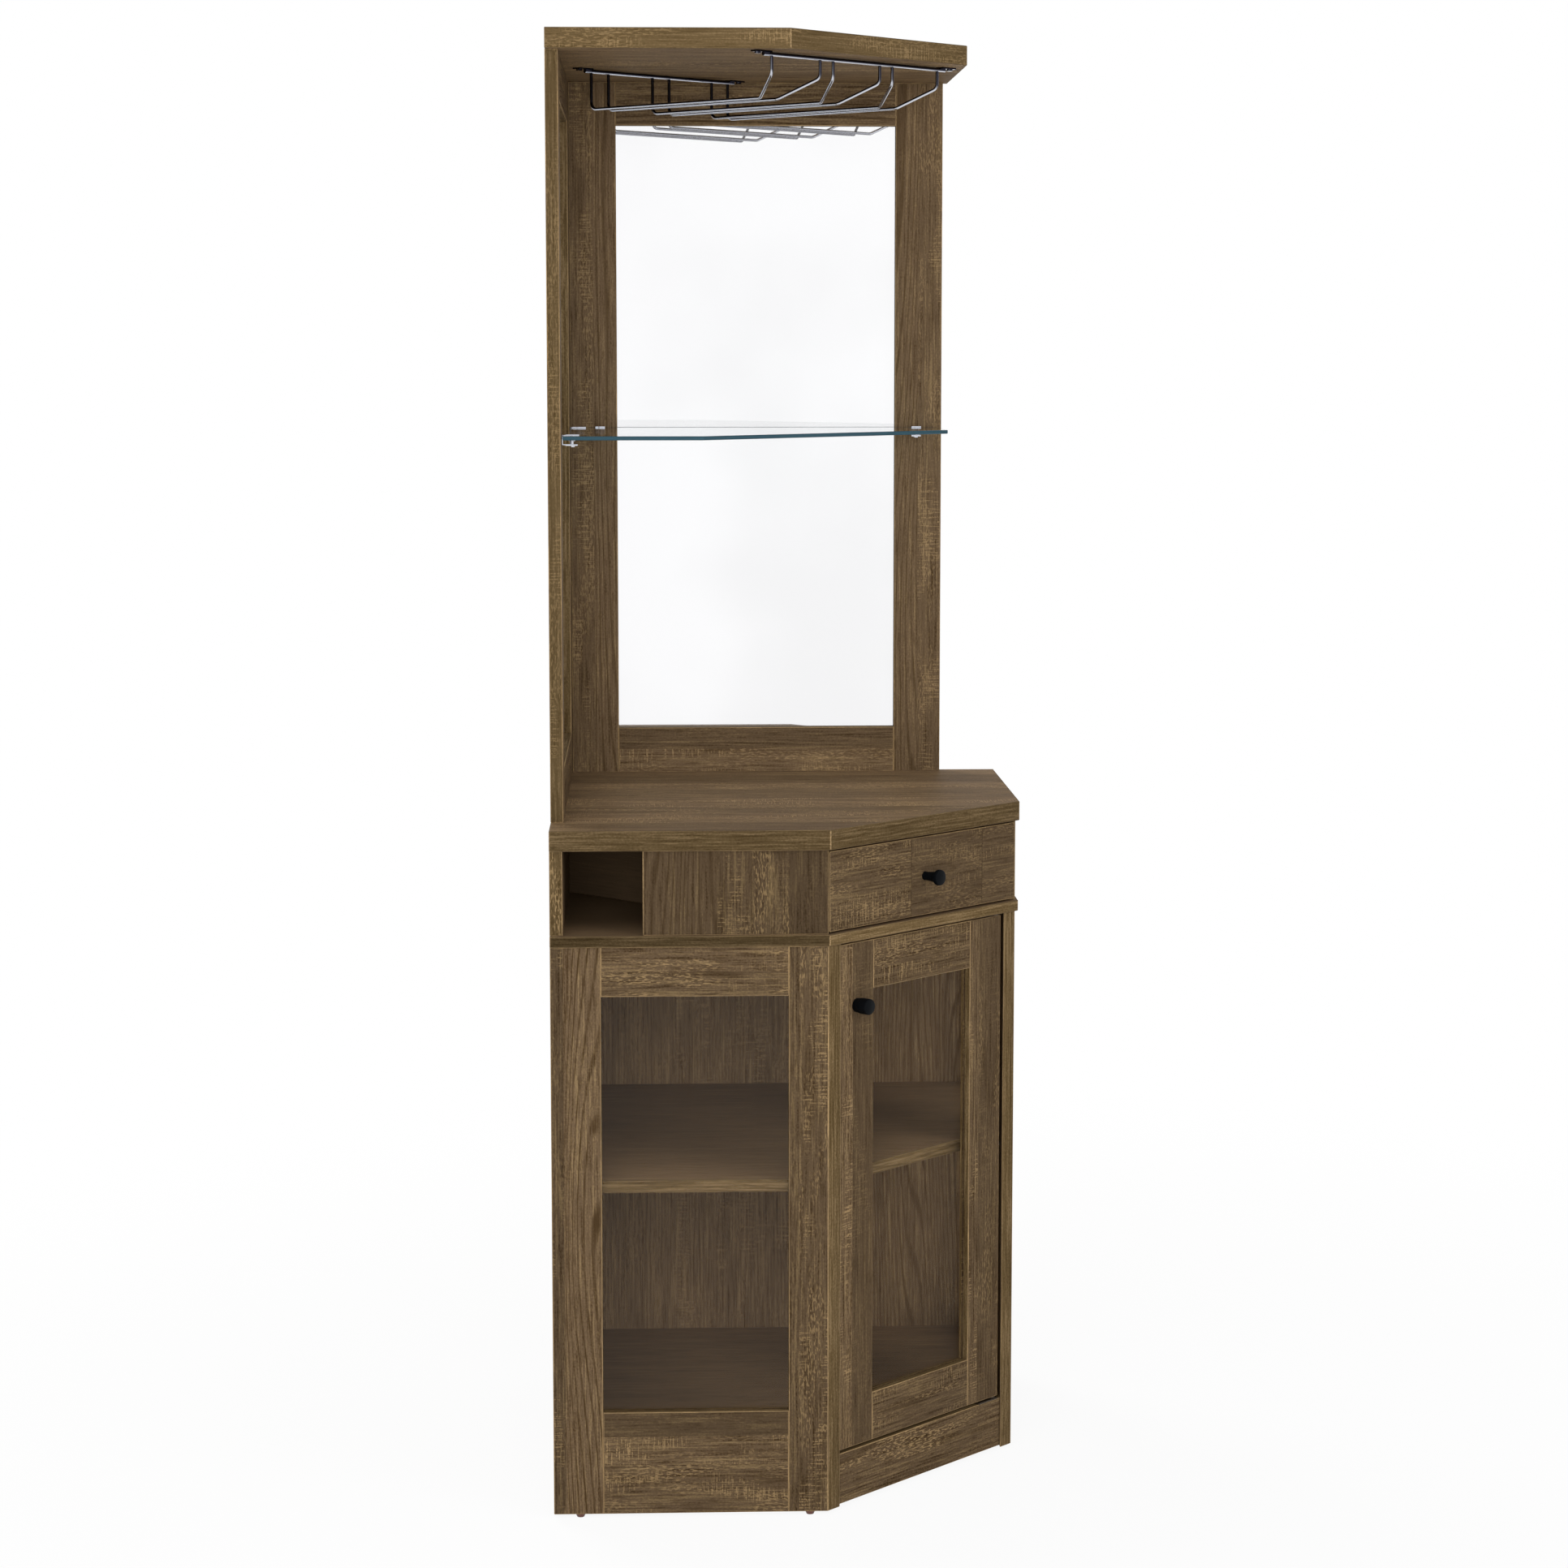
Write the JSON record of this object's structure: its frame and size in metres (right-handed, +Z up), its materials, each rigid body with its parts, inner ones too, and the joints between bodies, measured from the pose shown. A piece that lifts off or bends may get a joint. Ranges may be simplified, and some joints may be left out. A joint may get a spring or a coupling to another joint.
{
  "type": "corner bar cabinet",
  "caption": "Corner bar cabinet with a mirrored hutch, glass shelf, wire stemware rack, angled drawer, bottle bays and a glazed door in a cut-corner base.",
  "frame": {"origin": "centre of the plan's bounding square at floor level", "axes": "+Z up; the room's left wall is at -X and its right wall at +Y; the cut corner with the door and drawer faces +X -Y"},
  "size_m": [0.603, 0.603, 1.835],
  "materials": {
    "oak_laminate": "satin reclaimed oak laminate",
    "mirror_glass": "silvered",
    "clear_glass": "polished",
    "rack_chrome": "polished",
    "black_metal": "satin",
    "zinc_steel": "zinc plated",
    "brown_nylon": "matt",
    "brown_plastic": "satin",
    "hardboard": "plain",
    "beech": "plain",
    "drawer_board": "satin laminate"
  },
  "bodies": {
    "case": {"bottom_board": "oak_laminate", "cabinet_shelf": "oak_laminate", "counter_top": "oak_laminate", "drawer_rails": "zinc_steel", "floor_glides": "brown_plastic", "glass_shelf": "clear_glass", "glass_shelf_clips": "rack_chrome", "hinge_plates": "zinc_steel", "hutch_dowels": "beech", "left_back_wall": "oak_laminate", "left_fixed_panel": "oak_laminate", "left_hutch_bottom_rail": "oak_laminate", "left_hutch_corner_stile": "oak_laminate", "left_hutch_end_stile": "oak_laminate", "left_hutch_top_rail": "oak_laminate", "left_mirror": "mirror_glass", "left_partition": "oak_laminate", "left_side_bottom_rail": "oak_laminate", "left_side_corner_stile": "oak_laminate", "left_side_top_rail": "oak_laminate", "left_side_wall_stile": "oak_laminate", "left_upper_wall": "oak_laminate", "magnet_catch": "brown_plastic", "middle_board": "oak_laminate", "mirror_backings": "hardboard", "plinth": "oak_laminate", "rack_bars": "rack_chrome", "rack_screws": "rack_chrome", "rack_wires": "rack_chrome", "right_back_wall": "oak_laminate", "right_fixed_panel": "oak_laminate", "right_hutch_bottom_rail": "oak_laminate", "right_hutch_corner_stile": "oak_laminate", "right_hutch_end_stile": "oak_laminate", "right_hutch_top_rail": "oak_laminate", "right_mirror": "mirror_glass", "right_partition": "oak_laminate", "right_side_bottom_rail": "oak_laminate", "right_side_corner_stile": "oak_laminate", "right_side_top_rail": "oak_laminate", "right_side_wall_stile": "oak_laminate", "right_upper_wall": "oak_laminate", "shelf_pins": "zinc_steel", "side_panes": "clear_glass", "top_board": "oak_laminate"},
    "door": {"door_knob_stile": "oak_laminate", "door_hinge_stile": "oak_laminate", "door_top_rail": "oak_laminate", "door_bottom_rail": "oak_laminate", "door_pane": "clear_glass", "door_knob": "black_metal", "hinge_bushes": "brown_nylon", "catch_strike": "zinc_steel"},
    "drawer": {"drawer_front": "oak_laminate", "drawer_left_side": "drawer_board", "drawer_right_side": "drawer_board", "drawer_back": "drawer_board", "drawer_bottom": "drawer_board", "drawer_runners": "zinc_steel", "drawer_knob": "black_metal"}
  },
  "joints": [
    {"name": "door_swing", "type": "hinge", "parent": "case", "child": "door", "pos_m": [0.26763, -0.05798, 0.3975], "axis": [0, 0, 1], "range_deg": [0, 105]},
    {"name": "drawer_slide", "type": "slide", "parent": "case", "child": "drawer", "axis": [0.7071, -0.7071, 0], "range_m": [0, 0.24]}
  ]
}
